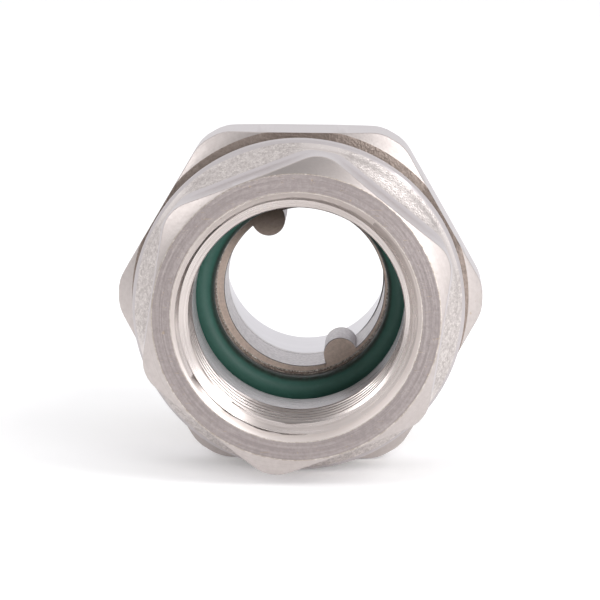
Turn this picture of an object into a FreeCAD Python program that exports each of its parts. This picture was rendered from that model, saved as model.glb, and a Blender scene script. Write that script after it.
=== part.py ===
import FreeCAD, Part
import os
import Sketcher

# A straight pipe union, three-quarter inch: a female end with a spanner hexagon, a union nut and
# a tailpiece with a male pipe thread. A rubber ring seals the tailpiece in the female end.
# The fitting lies on a flat of its nut, its axis along Y and its female mouth towards -Y.
# Depths run along the axis from the face of that mouth, and all lengths are in millimetres.
# A thread is a plain cylinder here: at its crests where a pipe screws on, and at its mean
# diameter where the nut meets the female end.

SIZES = [
    ("pipe_diameter", 26.441, "outer diameter of the three-quarter inch pipe thread"),
    ("pipe_pitch", 1.814, "pitch of the pipe thread"),
    ("thread_ratio", 0.640327, "depth of a pipe thread over its pitch"),
    ("inlet_length", 10.6, "depth to which the female pipe thread is cut"),
    ("mouth_height", 0.73, "how far the countersunk mouth reaches outside that thread"),
    ("relief_height", 0.08, "how far the relief behind that thread reaches outside it"),
    ("relief_length", 0.6, "length of that relief"),
    ("runout_length", 6.1, "length of the cone from that relief down to the throat"),
    ("inlet_wall", 2.9795, "wall from the pipe thread to the flats of the female end"),
    ("face_drop", 0.1, "how far inside the flats the flat face of the mouth ends"),
    ("corner_height", 1.9, "how far the turned corners of that hexagon stand over its flats"),
    ("corner_angle", 30.0, "slope of the bevel across hexagon corners, in degrees"),
    ("hex_turn", 22.7, "how far that hexagon is turned from the nut's, in degrees"),
    ("hex_length", 6.8, "depth at which the flats would meet the flare, without the fillet"),
    ("foot_radius", 3.0, "radius where a flat runs into the flare"),
    ("flare_angle", 45.0, "slope of the flare behind the flats, in degrees"),
    ("flare_gap", 0.05, "room between the flare and the front of the collar"),
    ("collar_height", 0.8, "how far the collar stands over the corners of the hexagon"),
    ("collar_chamfer", 0.6, "chamfer at the front of the collar"),
    ("rim_length", 2.45, "width of the collar's rim behind that chamfer"),
    ("ring_inset", 0.379, "how far the middle of the rubber ring's section is inside the throat"),
    ("ring_thickness", 3.1, "thickness of the rubber ring"),
    ("ring_distance", 4.6, "distance from the throat to the middle of the rubber ring"),
    ("ring_gap", 0.1, "room between the rubber ring and its seats"),
    ("cup_depth", 1.25, "depth of the cup in the nose that holds the rubber ring"),
    ("cup_wall", 0.57, "thickness of the rim round that cup"),
    ("nose_gap", 0.15, "room round the nose in the socket of the female end"),
    ("socket_gap", 0.5, "room in front of the nose in that socket"),
    ("socket_length", 4.2, "depth of that socket"),
    ("socket_wall", 2.5746, "wall from that socket to the crests of the one inch union thread"),
    ("union_pitch", 2.309, "pitch of the union thread"),
    ("union_gap", 0.04, "how far each side of that thread keeps off its mean radius"),
    ("union_chamfer", 0.9, "chamfer at the end of the union thread"),
    ("neck_drop", 0.15, "how far the neck behind the collar lies under the union thread"),
    ("neck_length", 1.6, "length of that neck"),
    ("tail_length", 30.1, "length of the tailpiece"),
    ("bore_gap", 0.04, "how far the bore of the tailpiece is outside that of the rubber ring"),
    ("ledge_depth", 1.45, "depth of the ledge behind the seat of the rubber ring"),
    ("ledge_width", 0.75, "width of that ledge"),
    ("flange_gap", 1.5, "gap between the female end and the flange of the tailpiece"),
    ("flange_drop", 0.25, "how far that flange lies under the crests of the nut's thread"),
    ("flange_thickness", 1.9, "thickness of that flange"),
    ("barrel_height", 0.08, "how far the barrel stands over the male pipe thread"),
    ("outlet_length", 15.5, "length of the male pipe thread"),
    ("outlet_chamfer", 1.1, "chamfer at the end of that thread"),
    ("undercut_drop", 0.06, "how far the undercut lies under that thread"),
    ("undercut_length", 1.5, "length of the undercut"),
    ("key_length", 9.6, "length of the narrow bore with the key lugs"),
    ("key_draught_angle", 0.5, "draught of that bore, in degrees"),
    ("key_offset", 0.3, "how far that forged bore lies off the turned axis"),
    ("lug_radius", 1.95, "radius of a half-round key lug"),
    ("lug_gap", 1.1, "how much shorter than its bore a key lug is"),
    ("lug_inset", 0.38, "how far the middle of a lug's round is inside the wall of that bore"),
    ("lug_turn", 118.3, "direction in which the first lug stands, in degrees"),
    ("nut_height", 0.1, "how far the nut's flats stand over the collar"),
    ("nut_corner_height", 2.05, "how far the turned corners of the nut stand over its flats"),
    ("nut_face_height", 0.39, "how far outside the flats the nut's flat face ends"),
    ("nut_length", 14.8, "length of the nut"),
    ("nut_hex_length", 10.2, "length of the nut's hexagon"),
    ("nut_thread_length", 8.7, "length of the thread in the nut"),
    ("nut_mouth_height", 0.475, "how far the nut's countersunk mouth reaches outside that thread"),
    ("nut_relief_height", 0.275, "how far the relief behind that thread reaches outside it"),
    ("nut_relief_length", 1.8, "length of that relief"),
    ("cavity_gap", 0.5, "room round the flange in the nut"),
    ("hub_wall", 1.5, "wall of the nut's round hub over the relief"),
    ("hub_end_wall", 2.3, "width of the ring face at the far end of the hub"),
    ("lip_gap", 0.1, "gap between the flange and the lip that pulls on it"),
    ("lip_thickness", 2.1, "thickness of that lip"),
    ("lip_clearance", 0.2, "room between the lip and the barrel"),
]

HEX_SIDES = 6
FULL_TURN = 360

# How far a cutting outline reaches past what it trims.
OVERCUT = 1.0

# Radii that follow from the sheet, from the pipe thread outwards.
PIPE_RADIUS = "(sizes.pipe_diameter / 2)"
PIPE_BORE = f"({PIPE_RADIUS} - sizes.thread_ratio * sizes.pipe_pitch)"
MOUTH_RADIUS = f"({PIPE_RADIUS} + sizes.mouth_height)"
HEX_FLAT = f"({PIPE_RADIUS} + sizes.inlet_wall)"
HEX_CORNER = f"({HEX_FLAT} + sizes.corner_height)"
COLLAR_RADIUS = f"({HEX_CORNER} + sizes.collar_height)"
COLLAR_RING = f"({COLLAR_RADIUS} - sizes.collar_chamfer)"
NUT_FLAT = f"({COLLAR_RADIUS} + sizes.nut_height)"
NUT_CORNER = f"({NUT_FLAT} + sizes.nut_corner_height)"
NUT_FACE = f"({NUT_FLAT} + sizes.nut_face_height)"
RING_MIDDLE = f"({PIPE_BORE} - sizes.ring_inset)"
RING_REACH = "(sizes.ring_thickness / 2 + sizes.ring_gap)"
CUP_RADIUS = f"({RING_MIDDLE} + {RING_REACH})"
NOSE_RADIUS = f"({CUP_RADIUS} + sizes.cup_wall)"
SOCKET_RADIUS = f"({NOSE_RADIUS} + sizes.nose_gap)"
UNION_RADIUS = f"({SOCKET_RADIUS} + sizes.socket_wall)"
UNION_ROOT = f"({UNION_RADIUS} - sizes.thread_ratio * sizes.union_pitch)"
UNION_MEAN = f"({UNION_RADIUS} - sizes.thread_ratio * sizes.union_pitch / 2)"
NUT_RELIEF = f"({UNION_RADIUS} + sizes.nut_relief_height)"
FLANGE_RADIUS = f"({UNION_ROOT} - sizes.flange_drop)"
BARREL_RADIUS = f"({PIPE_RADIUS} + sizes.barrel_height)"
UNDERCUT_RADIUS = f"({PIPE_BORE} - sizes.undercut_drop)"
LIP_RADIUS = f"({BARREL_RADIUS} + sizes.lip_clearance)"
BORE_RADIUS = f"({RING_MIDDLE} - sizes.ring_thickness / 2 + sizes.bore_gap)"
KEY_RADIUS = f"({BORE_RADIUS} - sizes.ledge_width)"

# Depths that follow from the sheet, from the inlet inwards.
THROAT_DEPTH = "(sizes.inlet_length + sizes.relief_length + sizes.runout_length)"
RING_DEPTH = f"({THROAT_DEPTH} + sizes.ring_distance)"
CUP_FLOOR = f"({RING_DEPTH} + {RING_REACH})"
NOSE_DEPTH = f"({CUP_FLOOR} - sizes.cup_depth)"
SOCKET_DEPTH = f"({NOSE_DEPTH} - sizes.socket_gap)"
BODY_END = f"({SOCKET_DEPTH} + sizes.socket_length)"
LEDGE_DEPTH = f"({CUP_FLOOR} + sizes.ledge_depth)"
KEY_END = f"({LEDGE_DEPTH} + sizes.key_length)"
FLANGE_DEPTH = f"({BODY_END} + sizes.flange_gap)"
FLANGE_BACK = f"({FLANGE_DEPTH} + sizes.flange_thickness)"
LIP_DEPTH = f"({FLANGE_BACK} + sizes.lip_gap)"
NUT_END = f"({LIP_DEPTH} + sizes.lip_thickness)"
NUT_DEPTH = f"({NUT_END} - sizes.nut_length)"
TAIL_END = f"({NOSE_DEPTH} + sizes.tail_length)"
OUTLET_DEPTH = f"({TAIL_END} - sizes.outlet_length)"

# The conical seat starts at the throat and passes the rubber ring at the ring's gap.
SEAT_ANGLE = (f"(asin({RING_REACH} / hypot(sizes.ring_inset; sizes.ring_distance))"
              " - atan(sizes.ring_inset / sizes.ring_distance))")
SEAT_RADIUS = f"({PIPE_BORE} + ({SOCKET_DEPTH} - {THROAT_DEPTH}) * tan({SEAT_ANGLE}))"

# The fillet at the foot of a flat touches the flat and the flare at this length from their corner.
FOOT_TANGENT = "(sizes.foot_radius * tan(sizes.flare_angle / 2))"
FLARE_TOP = f"({COLLAR_RADIUS} + {OVERCUT})"
FLARE_END = f"(sizes.hex_length + ({FLARE_TOP} - {HEX_FLAT}) / tan(sizes.flare_angle))"
COLLAR_FRONT = (f"(sizes.hex_length + ({COLLAR_RING} - {HEX_FLAT}) / tan(sizes.flare_angle)"
                " + sizes.flare_gap)")
COLLAR_BACK = f"({COLLAR_FRONT} + sizes.collar_chamfer + sizes.rim_length)"

doc = FreeCAD.newDocument("straight_union")
sheet = doc.addObject("Spreadsheet::Sheet", "sizes")
for row, (alias, value, meaning) in enumerate(SIZES, start=1):
    sheet.set(f"A{row}", meaning)
    sheet.set(f"B{row}", str(value))
    sheet.setAlias(f"B{row}", alias)
doc.recompute()


def amount(formula):
    """The present value of a formula on the sheet, as a plain number."""
    value = sheet.evalExpression(formula)
    return float(getattr(value, "Value", value))


def origin_part(body, role):
    """One of the body's own origin planes or axes."""
    return next(item for item in body.Origin.OriginFeatures if item.Role == role)


def new_body(name):
    """A body whose axis lies a nut's flat above the ground, the fitting's middle over 0."""
    body = doc.addObject("PartDesign::Body", name)
    body.Label = name
    body.setExpression("Placement.Base.y", f"-{TAIL_END} / 2")
    body.setExpression("Placement.Base.z", NUT_FLAT)
    return body


def new_sketch(body, name, role, lift="0"):
    """An empty sketch on one of the body's origin planes, lifted off it by a formula."""
    sketch = body.newObject("Sketcher::SketchObject", name)
    sketch.AttachmentSupport = (origin_part(body, role), [""])
    sketch.MapMode = "FlatFace"
    sketch.setExpression("AttachmentOffset.Base.z", lift)
    return sketch


def bind(sketch, kind, *items):
    """A dimension of the sketch that follows its formula, the last item."""
    *places, formula = items
    number = sketch.addConstraint(Sketcher.Constraint(kind, *places, amount(formula)))
    sketch.setExpression(f"Constraints[{number}]", formula)


def add_outline(sketch, corners, arc_radii=None):
    """A closed outline through corners, each a pair of formulas.

    arc_radii gives, by the number of its first corner, the radius of a side that is an arc. Such
    a side turns left on its way round the outline.
    """
    arc_radii = arc_radii or {}
    places = [FreeCAD.Vector(amount(along), amount(across), 0) for along, across in corners]
    for number, start in enumerate(places):
        end = places[(number + 1) % len(places)]
        if number in arc_radii:
            radius = amount(arc_radii[number])
            half = (end - start) / 2
            to_centre = FreeCAD.Vector(-half.y, half.x, 0).normalize()
            rise = (radius ** 2 - half.Length ** 2) ** 0.5
            crest = start + half + to_centre * (rise - radius)
            sketch.addGeometry(Part.ArcOfCircle(start, crest, end), False)
        else:
            sketch.addGeometry(Part.LineSegment(start, end), False)
    for number, (along, across) in enumerate(corners):
        following = (number + 1) % len(corners)
        sketch.addConstraint(Sketcher.Constraint("Coincident", number, 2, following, 1))
        bind(sketch, "DistanceX", -1, 1, number, 1, along)
        bind(sketch, "DistanceY", -1, 1, number, 1, across)
    for number, radius in arc_radii.items():
        bind(sketch, "Radius", number, radius)


def add_circle(sketch, along, across, radius):
    """A circle whose centre and radius are formulas."""
    centre = FreeCAD.Vector(amount(along), amount(across), 0)
    circle = Part.Circle(centre, FreeCAD.Vector(0, 0, 1), amount(radius))
    number = sketch.addGeometry(circle, False)
    bind(sketch, "DistanceX", -1, 1, number, 3, along)
    bind(sketch, "DistanceY", -1, 1, number, 3, across)
    bind(sketch, "Radius", number, radius)


def turn(body, sketch, name):
    """The solid that a sketch of depths and radii makes when it is turned about the axis."""
    solid = body.newObject("PartDesign::Revolution", name)
    solid.Profile = sketch
    solid.ReferenceAxis = (sketch, ["H_Axis"])
    solid.Angle = FULL_TURN
    doc.recompute()
    return solid


def mill_flats(body, corners, name, arc_radii=None):
    """Six flats milled off the body with a cutter of this outline, in depth and height."""
    before = body.Shape.Volume
    sketch = new_sketch(body, f"{name}_outline", "YZ_Plane")
    add_outline(sketch, corners, arc_radii)
    cut = body.newObject("PartDesign::Pocket", name)
    cut.Profile = sketch
    cut.Type = "ThroughAll"
    cut.SideType = "Symmetric"
    doc.recompute()
    flats = body.newObject("PartDesign::PolarPattern", f"{name}_all")
    flats.Originals = [cut]
    flats.Axis = (origin_part(body, "Y_Axis"), [""])
    flats.Angle = FULL_TURN
    flats.Occurrences = HEX_SIDES
    body.Tip = flats
    doc.recompute()
    assert body.Shape.Volume < before, f"{name} cut nothing"


def female_end():
    """The female end: a hexagon with a flare and a collar, a pipe thread and a conical seat."""
    body = new_body("union_body")
    body.Placement.Rotation = FreeCAD.Rotation(FreeCAD.Vector(0, -1, 0), amount("sizes.hex_turn"))
    body.setExpression("Placement.Rotation.Angle", "sizes.hex_turn")
    face_radius = f"({HEX_FLAT} - sizes.face_drop)"
    relief_radius = f"{PIPE_RADIUS} + sizes.relief_height"
    neck_radius = f"({UNION_ROOT} - sizes.neck_drop)"
    neck_end = f"({COLLAR_BACK} + sizes.neck_length)"
    thread_radius = f"({UNION_MEAN} - sizes.union_gap)"
    outside = [
        ("0", MOUTH_RADIUS),
        ("0", face_radius),
        (f"({HEX_CORNER} - {face_radius}) * tan(sizes.corner_angle)", HEX_CORNER),
        (COLLAR_FRONT, HEX_CORNER),
        (COLLAR_FRONT, COLLAR_RING),
        (f"{COLLAR_FRONT} + sizes.collar_chamfer", COLLAR_RADIUS),
        (COLLAR_BACK, COLLAR_RADIUS),
        (COLLAR_BACK, neck_radius),
        (neck_end, neck_radius),
        (f"{neck_end} + {thread_radius} - {neck_radius}", thread_radius),
        (f"{BODY_END} - sizes.union_chamfer", thread_radius),
        (BODY_END, f"{thread_radius} - sizes.union_chamfer"),
    ]
    inside = [
        (BODY_END, SOCKET_RADIUS),
        (SOCKET_DEPTH, SOCKET_RADIUS),
        (SOCKET_DEPTH, SEAT_RADIUS),
        (THROAT_DEPTH, PIPE_BORE),
        ("sizes.inlet_length + sizes.relief_length", relief_radius),
        ("sizes.inlet_length", relief_radius),
        ("sizes.inlet_length", PIPE_BORE),
        (f"{MOUTH_RADIUS} - {PIPE_BORE}", PIPE_BORE),
    ]
    blank = new_sketch(body, "body_section", "YZ_Plane")
    add_outline(blank, outside + inside)
    turn(body, blank, "body_turned")
    cutter = [
        (f"-{OVERCUT}", HEX_FLAT),
        (f"sizes.hex_length - {FOOT_TANGENT}", HEX_FLAT),
        (f"sizes.hex_length + {FOOT_TANGENT} * cos(sizes.flare_angle)",
         f"{HEX_FLAT} + {FOOT_TANGENT} * sin(sizes.flare_angle)"),
        (FLARE_END, FLARE_TOP),
        (f"-{OVERCUT}", FLARE_TOP),
    ]
    mill_flats(body, cutter, "body_flats", {1: "sizes.foot_radius"})
    return body


def rubber_ring():
    """The ring that seals the nose of the tailpiece in the conical seat."""
    body = new_body("o_ring")
    section = new_sketch(body, "ring_outline", "YZ_Plane")
    add_circle(section, RING_DEPTH, RING_MIDDLE, "sizes.ring_thickness / 2")
    turn(body, section, "ring_turned")
    return body


def union_nut():
    """The nut: its thread draws the female end in, and its lip pulls on the tailpiece's flange."""
    body = new_body("union_nut")
    thread_radius = f"({UNION_MEAN} + sizes.union_gap)"
    mouth_radius = f"({UNION_RADIUS} + sizes.nut_mouth_height)"
    cavity_radius = f"({FLANGE_RADIUS} + sizes.cavity_gap)"
    bevel_depth = f"({NUT_CORNER} - {NUT_FACE}) * tan(sizes.corner_angle)"
    hex_end = f"({NUT_DEPTH} + sizes.nut_hex_length)"
    thread_end = f"({NUT_DEPTH} + sizes.nut_thread_length)"
    relief_end = f"({thread_end} + sizes.nut_relief_length)"
    section = [
        (NUT_DEPTH, mouth_radius),
        (NUT_DEPTH, NUT_FACE),
        (f"{NUT_DEPTH} + {bevel_depth}", NUT_CORNER),
        (f"{hex_end} - {bevel_depth}", NUT_CORNER),
        (hex_end, NUT_FACE),
        (hex_end, f"{NUT_RELIEF} + sizes.hub_wall"),
        (NUT_END, f"{LIP_RADIUS} + sizes.hub_end_wall"),
        (NUT_END, LIP_RADIUS),
        (LIP_DEPTH, LIP_RADIUS),
        (LIP_DEPTH, cavity_radius),
        (relief_end, cavity_radius),
        (relief_end, NUT_RELIEF),
        (thread_end, NUT_RELIEF),
        (thread_end, thread_radius),
        (f"{NUT_DEPTH} + {mouth_radius} - {thread_radius}", thread_radius),
    ]
    blank = new_sketch(body, "nut_section", "YZ_Plane")
    add_outline(blank, section)
    turn(body, blank, "nut_turned")
    cutter = [
        (f"{NUT_DEPTH} - {OVERCUT}", NUT_FLAT),
        (f"{NUT_END} + {OVERCUT}", NUT_FLAT),
        (f"{NUT_END} + {OVERCUT}", f"{NUT_CORNER} + {OVERCUT}"),
        (f"{NUT_DEPTH} - {OVERCUT}", f"{NUT_CORNER} + {OVERCUT}"),
    ]
    mill_flats(body, cutter, "nut_flats")
    return body


def tailpiece():
    """The tailpiece: a nose with a cup, a flange, a male thread and a forged bore with two lugs."""
    body = new_body("tailpiece")
    undercut_depth = f"({OUTLET_DEPTH} - sizes.undercut_length)"
    section = [
        (LEDGE_DEPTH, "0"),
        (LEDGE_DEPTH, BORE_RADIUS),
        (CUP_FLOOR, BORE_RADIUS),
        (CUP_FLOOR, CUP_RADIUS),
        (NOSE_DEPTH, CUP_RADIUS),
        (NOSE_DEPTH, NOSE_RADIUS),
        (FLANGE_DEPTH, NOSE_RADIUS),
        (FLANGE_DEPTH, FLANGE_RADIUS),
        (FLANGE_BACK, FLANGE_RADIUS),
        (FLANGE_BACK, BARREL_RADIUS),
        (undercut_depth, BARREL_RADIUS),
        (undercut_depth, UNDERCUT_RADIUS),
        (OUTLET_DEPTH, UNDERCUT_RADIUS),
        (f"{OUTLET_DEPTH} + {PIPE_RADIUS} - {UNDERCUT_RADIUS}", PIPE_RADIUS),
        (f"{TAIL_END} - sizes.outlet_chamfer", PIPE_RADIUS),
        (TAIL_END, f"{PIPE_RADIUS} - sizes.outlet_chamfer"),
        (TAIL_END, BORE_RADIUS),
        (KEY_END, BORE_RADIUS),
        (KEY_END, "0"),
    ]
    blank = new_sketch(body, "tail_section", "YZ_Plane")
    add_outline(blank, section)
    solid = turn(body, blank, "tail_turned")
    before = solid.Shape.Volume
    bore = new_sketch(body, "key_outline", "XZ_Plane", f"-{LEDGE_DEPTH}")
    add_circle(bore, "sizes.key_offset", "0", KEY_RADIUS)
    cut = body.newObject("PartDesign::Pocket", "key_bore")
    cut.Profile = bore
    cut.setExpression("Length", "sizes.key_length")
    cut.setExpression("TaperAngle", "sizes.key_draught_angle")
    doc.recompute()
    assert body.Shape.Volume < before, "the key bore cut nothing"
    before = body.Shape.Volume
    lugs = new_sketch(body, "lug_outline", "XZ_Plane", f"-{LEDGE_DEPTH}")
    lug_middle = f"({KEY_RADIUS} - sizes.lug_inset)"
    for side in ("", " + 180"):
        add_circle(lugs, f"sizes.key_offset + {lug_middle} * cos(sizes.lug_turn{side})",
                   f"{lug_middle} * sin(sizes.lug_turn{side})", "sizes.lug_radius")
    pad = body.newObject("PartDesign::Pad", "key_lugs")
    pad.Profile = lugs
    pad.setExpression("Length", "sizes.key_length - sizes.lug_gap")
    pad.Reversed = True
    doc.recompute()
    assert body.Shape.Volume > before, "the lugs added nothing"
    return body


pieces = [female_end(), rubber_ring(), union_nut(), tailpiece()]
doc.recompute()

failed = [item.Name for item in doc.Objects if {"Invalid", "Error"} & set(item.State)]
assert not failed, f"not computed: {failed}"
os.makedirs("parts", exist_ok=True)
for piece in pieces:
    assert not piece.Shape.isNull() and piece.Shape.isValid(), f"bad shape: {piece.Label}"
    piece.Shape.exportStep(f"parts/{piece.Label}.step")
    box = piece.Shape.BoundBox
    print(f"{piece.Label}: {len(piece.Shape.Solids)} solid, {piece.Shape.Volume:.1f} mm3,",
          f"x {box.XMin:.2f} to {box.XMax:.2f}, y {box.YMin:.2f} to {box.YMax:.2f},",
          f"z {box.ZMin:.2f} to {box.ZMax:.2f}")
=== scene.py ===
# %% [markdown]
# # A straight pipe union, seen into its female end
# The fitting is four pieces: a female end with a spanner hexagon, a rubber ring, a tailpiece and
# the union nut that clamps them together. All metal pieces are nickel-plated brass, machined on a
# lathe from hot-stamped blanks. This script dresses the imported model. It rebuilds each piece with
# its real screw threads, spanner flats and broken edges, and gives every surface the finish that
# its tool left: turned, milled, threaded, bead-blasted or as stamped.

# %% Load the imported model
from math import acos, atan2, ceil, cos, degrees, floor, hypot, pi, radians, sin, sqrt, tan, tau

import bmesh
import bpy
from mathutils import Matrix, Vector


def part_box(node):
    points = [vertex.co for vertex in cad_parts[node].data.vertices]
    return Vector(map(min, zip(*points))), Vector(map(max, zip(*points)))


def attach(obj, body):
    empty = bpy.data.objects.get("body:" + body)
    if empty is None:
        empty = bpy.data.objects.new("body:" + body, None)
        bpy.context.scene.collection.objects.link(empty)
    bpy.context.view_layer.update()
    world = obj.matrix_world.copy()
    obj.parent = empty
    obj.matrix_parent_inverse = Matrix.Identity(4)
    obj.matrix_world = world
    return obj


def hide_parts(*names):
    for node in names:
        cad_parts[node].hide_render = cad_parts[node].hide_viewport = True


MM = 0.001
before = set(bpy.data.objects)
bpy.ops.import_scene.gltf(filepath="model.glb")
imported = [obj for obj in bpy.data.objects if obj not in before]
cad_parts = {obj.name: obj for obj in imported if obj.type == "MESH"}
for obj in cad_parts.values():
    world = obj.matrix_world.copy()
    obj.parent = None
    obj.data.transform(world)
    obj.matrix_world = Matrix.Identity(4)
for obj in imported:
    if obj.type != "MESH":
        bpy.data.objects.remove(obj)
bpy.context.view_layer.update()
for node in ("union_body", "o_ring", "union_nut", "tailpiece"):
    low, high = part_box(node)
    print(node, [round(v / MM, 2) for v in (*low, *high)])

# %% [markdown]
# ## Where things are
# A fitting is drawn by the distance from its axis and the depth behind its front face, in
# millimetres. One function turns such a place into a point of the scene, in metres. Angles are
# counted as a viewer sees them who looks into the female end: 0 to the right, 90 at the top.

# %% Places on the fitting
LENGTH = 52.4
AXIS_HEIGHT = 19.0


def point(depth, radius, turn):
    """The point at a depth behind the front face, a distance from the axis and an angle round it."""
    across = radius * cos(turn)
    rise = AXIS_HEIGHT + radius * sin(turn)
    return Vector((across, depth - LENGTH / 2, rise)) * MM


print("front face at", point(0, 0, 0), "far end at", point(LENGTH, 0, 0))

# %% [markdown]
# ## Turning a piece
# A lathe makes a shape by spinning the blank against a tool, and Blender's Spin does the same with
# a line of vertices. Each vertex of the line carries its number. After the spin, every vertex
# is moved to where its place in the line puts it at that angle. So a flat, a helix or an eccentric
# bore is cut into the turned shape with no boolean, and its edges fall on edges of the mesh.

# %% Spin a line and move every vertex to its place
def spun(places, columns, names):
    """The first column's places, spun round the axis through all columns. Each vertex then goes
    to the place of its own column, and each face gets the finish of the place it starts from."""
    bm = bmesh.new()
    order = bm.verts.layers.int.new("order")
    chain = []
    for number, (depth, radius, *_) in enumerate(places[0]):
        vertex = bm.verts.new(point(depth, radius, 0))
        vertex[order] = number
        chain.append(vertex)
    edges = [bm.edges.new(pair) for pair in zip(chain, chain[1:] + chain[:1])]
    steps = len(columns) - 1
    made = bmesh.ops.spin(bm, geom=chain + edges, cent=point(0, 0, 0), axis=(0, -1, 0),
                          angle=tau, steps=steps, use_merge=False, use_duplicate=False)
    last = {item for item in made["geom_last"] if isinstance(item, bmesh.types.BMVert)}
    for face in bm.faces:
        found = sorted({vertex[order] for vertex in face.verts})
        closing = found[-1] - found[0] == len(chain) - 1
        start = found[-1] if closing else found[0]
        face.material_index = names.index(places[0][start][2])
        face.smooth = True
    for vertex in bm.verts:
        seen = atan2(vertex.co.z - AXIS_HEIGHT * MM, vertex.co.x) % tau
        column = steps if vertex in last else round(seen / tau * steps) % steps
        depth, radius, _, *own_turn = places[column][vertex[order]]
        vertex.co = point(depth, radius, own_turn[0] if own_turn else columns[column])
    return bm


washer = spun([[(0, 5, "skin"), (0, 9, "skin"), (1, 9, "skin"), (1, 5, "skin")]] * 9,
              [tau * step / 8 for step in range(9)], ["skin"])
print("a washer of 4 places in 8 columns has", len(washer.faces), "faces")
washer.free()

# %% [markdown]
# ## Closing the skin
# A helix ends one turn further on than it began. That is why the spin isn't merged: the doubles
# are merged afterwards, when each row has met its neighbour. Edges where the faces bend by more
# than 25 degrees are marked sharp, so the shading is soft on round faces and crisp at corners.

# %% The lathe
SAME_PLACE, TOO_SHORT = 0.002 * MM, 0.0015 * MM
SHARP = radians(25)


def into_scene(bm, name, finishes):
    """A new object in the scene, with this shape and these finishes."""
    mesh = bpy.data.meshes.new(name)
    bm.to_mesh(mesh)
    bm.free()
    piece = bpy.data.objects.new(name, mesh)
    bpy.context.scene.collection.objects.link(piece)
    for finish in finishes:
        mesh.materials.append(finish)
    return piece


def turn_piece(name, line, columns, finishes):
    """Turns a piece. columns are the angles round the axis, and line(number, turn) gives each
    one's places, as (depth, radius, finish) or (depth, radius, finish, turn)."""
    places = [line(number, turn) for number, turn in enumerate(columns)]
    bm = spun(places, columns, list(finishes))
    bmesh.ops.remove_doubles(bm, verts=bm.verts, dist=SAME_PLACE)
    bmesh.ops.dissolve_degenerate(bm, edges=bm.edges, dist=TOO_SHORT)
    bmesh.ops.recalc_face_normals(bm, faces=bm.faces)
    for edge in bm.edges:
        edge.smooth = edge.calc_face_angle(0) < SHARP
    open_edges = sum(not edge.is_manifold for edge in bm.edges)
    volume = round(bm.calc_volume() / MM ** 3)
    piece = into_scene(bm, name, finishes.values())
    print(name, len(piece.data.vertices), "vertices,", open_edges, "open edges, volume", volume)
    return piece


print("vertices nearer than", SAME_PLACE / MM, "mm become one")

# %% [markdown]
# ## Broken edges
# No machined edge is quite sharp: the fitter or the tumbling drum breaks it. A corner of the line
# can carry the width of its break as a fourth number. It is replaced by two places, one on each
# side of it, so that a narrow bevel catches the light all round.

# %% Breaking the corners of a line
MOST_OF_SIDE, NO_LENGTH = 0.4, 1e-9


def broken(corners):
    """The places of a line whose corners are (depth, radius, finish), or have a break as well."""
    places = []
    for number, (depth, radius, finish, *width) in enumerate(corners):
        if not width:
            places.append((depth, radius, finish))
            continue
        before, after = corners[number - 1], corners[(number + 1) % len(corners)]
        for far, skin in ((before, before[2]), (after, finish)):
            length = hypot(far[0] - depth, far[1] - radius)
            share = min(width[0] / max(length, NO_LENGTH), MOST_OF_SIDE)
            places.append((depth + (far[0] - depth) * share,
                           radius + (far[1] - radius) * share, skin))
    return places


print("a corner broken by 0.1:", broken([(0, 4, "end"), (0, 5, "side", 0.1), (3, 5, "side")])[1:3])

# %% [markdown]
# ## Pipe threads
# Pipe threads have flanks 55 degrees apart, and their crests and roots are rounded. They are
# right-handed: seen from either end, a thread goes away from the viewer as it turns
# clockwise. Rows of vertices follow the helix and are held back at both ends of the thread, where
# a countersink, a bevel or a groove cuts it off.

# %% The form of a thread
RIDGE = (0, 0.045, 0.085, 0.1218, 0.3782, 0.415, 0.455, 0.5,
         0.545, 0.585, 0.6218, 0.8782, 0.915, 0.955)
CREST_EDGE, ROOT_EDGE = RIDGE[3], RIDGE[4]
RIDGE_HEIGHT, ROUNDING, FLANK = 0.640327, 0.137329, radians(27.5)


def ridge(share):
    """How high a thread stands, from 0 at the root to 1 at the crest, a share of a pitch on."""
    side = abs((share + 0.5) % 1 - 0.5)
    if side < CREST_EDGE:
        height = RIDGE_HEIGHT - ROUNDING + sqrt(ROUNDING ** 2 - side ** 2)
    elif side > ROOT_EDGE:
        height = ROUNDING - sqrt(ROUNDING ** 2 - (0.5 - side) ** 2)
    else:
        height = RIDGE_HEIGHT / 2 + (0.25 - side) / tan(FLANK)
    return height / RIDGE_HEIGHT


def thread(start, end, pitch, crest, root, crest_depth, share, limit):
    """The places of a thread from one depth to another, a share of a turn after the seam. At the
    seam a crest is at crest_depth, and limit(depth) is the radius that cuts the ridges off."""
    first = crest_depth + floor((start - crest_depth) / pitch) * pitch
    rows = ceil((end - first) / pitch) + 1
    outwards = crest > root
    places = []
    for row in range(rows):
        for step in RIDGE:
            depth = min(max(first + (row + step - share) * pitch, start), end)
            radius = root + (crest - root) * ridge((depth - first) / pitch + share)
            bound = limit(depth)
            radius = min(radius, bound) if outwards else max(radius, bound)
            places.append((depth, radius, "thread"))
    return places


print("ridge heights", [round(ridge(step), 3) for step in RIDGE])

# %% [markdown]
# ## Hexagons
# A spanner hexagon is milled or stamped on a turned blank, so its corners keep a piece of the
# turned cylinder. The columns of the mesh are laid so that one stands where each flat ends.
# Tumbling with other fittings has eased the edges of the flats, so the flat and the turned corner
# pass softly into each other.

# %% Angles for a hexagon
SIXTH = radians(60)
FLAT_STEPS, CORNER_STEPS = 36, 4


def hexagon_columns(first_flat, half_flat):
    """Angles round a hexagon with turned corners, starting where its first flat begins."""
    corner = SIXTH - 2 * half_flat
    angles = []
    for flat in range(6):
        middle = first_flat + radians(60 * flat)
        for step in range(FLAT_STEPS):
            angles.append(middle + half_flat * (2 * step / FLAT_STEPS - 1))
        for step in range(CORNER_STEPS):
            angles.append(middle + half_flat + corner * step / CORNER_STEPS)
    angles.append(angles[0] + tau)
    return angles


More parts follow.
